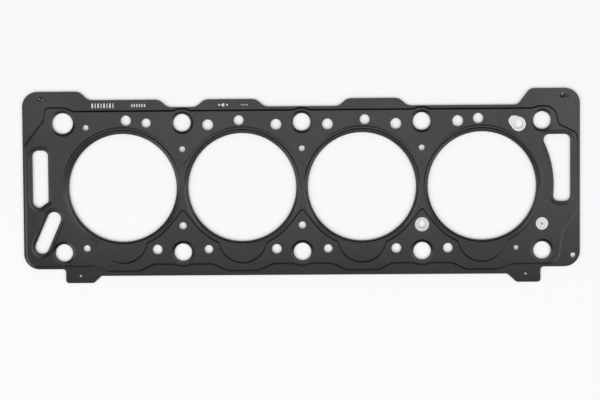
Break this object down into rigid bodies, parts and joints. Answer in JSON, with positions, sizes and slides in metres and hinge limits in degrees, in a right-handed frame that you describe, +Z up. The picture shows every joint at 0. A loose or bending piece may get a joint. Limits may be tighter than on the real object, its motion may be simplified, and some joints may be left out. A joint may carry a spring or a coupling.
{
  "type": "cylinder head gasket",
  "caption": "Multi-layer steel gasket that seals a cylinder head to its block, with large fire openings, bolt holes, coolant holes, end slots and pressed sealing beads.",
  "frame": {"origin": "midway between the two middle cylinders and between the two rows of head bolts, in the middle of the carrier layer's thickness, 1.23 mm above the engine block before the bolts are tightened", "axes": "+X along the engine towards the wide slot, +Y from the edge with the tabs to the edge with the notches, +Z up from the block to the cylinder head"},
  "size_m": [0.4327, 0.1502, 0.0024],
  "materials": {
    "black_coated_steel": "satin",
    "bare_steel": "satin",
    "rivet_steel": "satin"
  },
  "bodies": {
    "root": {"carrier_layer": "bare_steel", "stopper_shim": "bare_steel", "upper_bead_layer": "black_coated_steel", "lower_bead_layer": "black_coated_steel", "tab_rivets": "rivet_steel"}
  },
  "joints": []
}
